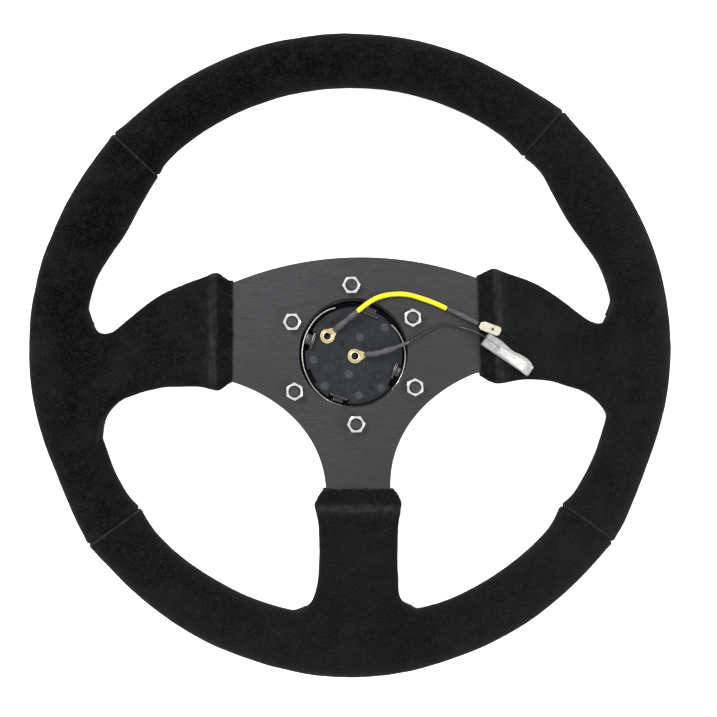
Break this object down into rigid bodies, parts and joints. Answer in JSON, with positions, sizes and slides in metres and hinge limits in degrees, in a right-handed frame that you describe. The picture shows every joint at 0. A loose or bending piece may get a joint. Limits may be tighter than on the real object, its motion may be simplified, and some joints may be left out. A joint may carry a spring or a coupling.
{
  "type": "steering wheel",
  "caption": "Three-spoke dished racing steering wheel wrapped in suede, lying face down, with its horn button and two free horn leads.",
  "frame": {"origin": "where the steering axis meets the surface that the rim lies on, face down", "axes": "+Z along the steering axis towards the column, +Y towards the top of the rim, +X to the right seen from the column side"},
  "size_m": [0.3488, 0.3513, 0.0625],
  "materials": {
    "plate": "brushed black anodised",
    "hoop": "bare",
    "foam": "moulded polyurethane foam",
    "suede": "napped suede",
    "screws": "black oxide",
    "nuts": "bright zinc",
    "horn_plastic": "moulded",
    "cap": "gloss",
    "contacts": "bright",
    "spring_steel": "bright drawn",
    "insulation": "smooth",
    "dark_sleeving": "shrunk sleeve",
    "yellow_sleeving": "satin",
    "terminals": "tinned",
    "clear_vinyl": "translucent"
  },
  "bodies": {
    "wheel": {"spoke_plate": "plate", "rim_core": "hoop", "rim_foam": "foam", "cover_top": "suede", "cover_left": "suede", "cover_right": "suede", "cover_bottom": "suede", "trim_ring": "plate", "screw_1": "screws", "screw_2": "screws", "screw_3": "screws", "screw_4": "screws", "screw_5": "screws", "screw_6": "screws", "nut_1": "nuts", "nut_2": "nuts", "nut_3": "nuts", "nut_4": "nuts", "nut_5": "nuts", "nut_6": "nuts", "horn_housing": "horn_plastic", "horn_base": "horn_plastic", "contact_ring": "contacts", "eyelet_centre": "contacts", "eyelet_side": "contacts", "ring_terminal_centre": "contacts", "ring_terminal_side": "contacts", "snap_ring": "spring_steel", "return_spring": "spring_steel", "wire_side": "insulation", "shrink_sleeve_side": "dark_sleeving", "yellow_sleeve": "yellow_sleeving", "dark_sleeve": "dark_sleeving", "wire_centre": "insulation", "shrink_sleeve_centre": "dark_sleeving", "tab_terminal": "terminals", "clear_cover": "clear_vinyl", "spade_receptacle": "terminals"},
    "horn_button": {"button_cap": "cap", "cap_insert": "plate", "contact_disc": "contacts"}
  },
  "joints": [
    {"name": "horn_press", "type": "slide", "parent": "wheel", "child": "horn_button", "axis": [0, 0, 1], "range_m": [0, 0.002], "stiffness_N_per_m": 1500, "springref_m": -0.002, "deforming": ["return_spring"]}
  ]
}
